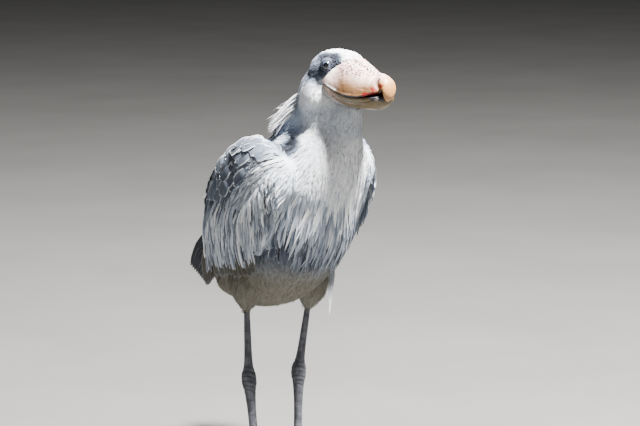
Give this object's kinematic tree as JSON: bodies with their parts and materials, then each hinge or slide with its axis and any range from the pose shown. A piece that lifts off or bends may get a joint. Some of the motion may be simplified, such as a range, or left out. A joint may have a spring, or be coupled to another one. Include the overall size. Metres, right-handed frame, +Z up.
{
  "type": "shoebill",
  "caption": "Life-size still model of a shoebill standing at rest, neck drawn in, head level and turned slightly to its right.",
  "frame": {"origin": "on the floor, under the middle of the bird's overall length and width", "axes": "+Z up, -Y the way the bird faces, +X to the bird's left"},
  "size_m": [0.3784, 0.7324, 1.1392],
  "materials": {
    "pale_feather": "matte",
    "slate_feather": "matte",
    "flight_feather": "matte",
    "belly_down": "matte",
    "bill_horn": "satin",
    "eye_glass": "gloss",
    "leg_scale": "matte",
    "claw_horn": "satin"
  },
  "bodies": {
    "root": {"head": "pale_feather", "eye_right": "eye_glass", "eye_left": "eye_glass", "bill_upper": "bill_horn", "bill_lower": "bill_horn", "neck": "pale_feather", "torso": "pale_feather", "tail": "flight_feather", "wing_right": "slate_feather", "wing_left": "slate_feather", "thigh_right": "belly_down", "thigh_left": "belly_down", "shank_right": "leg_scale", "shank_left": "leg_scale", "tarsus_right": "leg_scale", "tarsus_left": "leg_scale", "toe_middle_right": "leg_scale", "claw_middle_right": "claw_horn", "toe_inner_right": "leg_scale", "claw_inner_right": "claw_horn", "toe_outer_right": "leg_scale", "claw_outer_right": "claw_horn", "toe_back_right": "leg_scale", "claw_back_right": "claw_horn", "toe_middle_left": "leg_scale", "claw_middle_left": "claw_horn", "toe_inner_left": "leg_scale", "claw_inner_left": "claw_horn", "toe_outer_left": "leg_scale", "claw_outer_left": "claw_horn", "toe_back_left": "leg_scale", "claw_back_left": "claw_horn"}
  },
  "joints": []
}
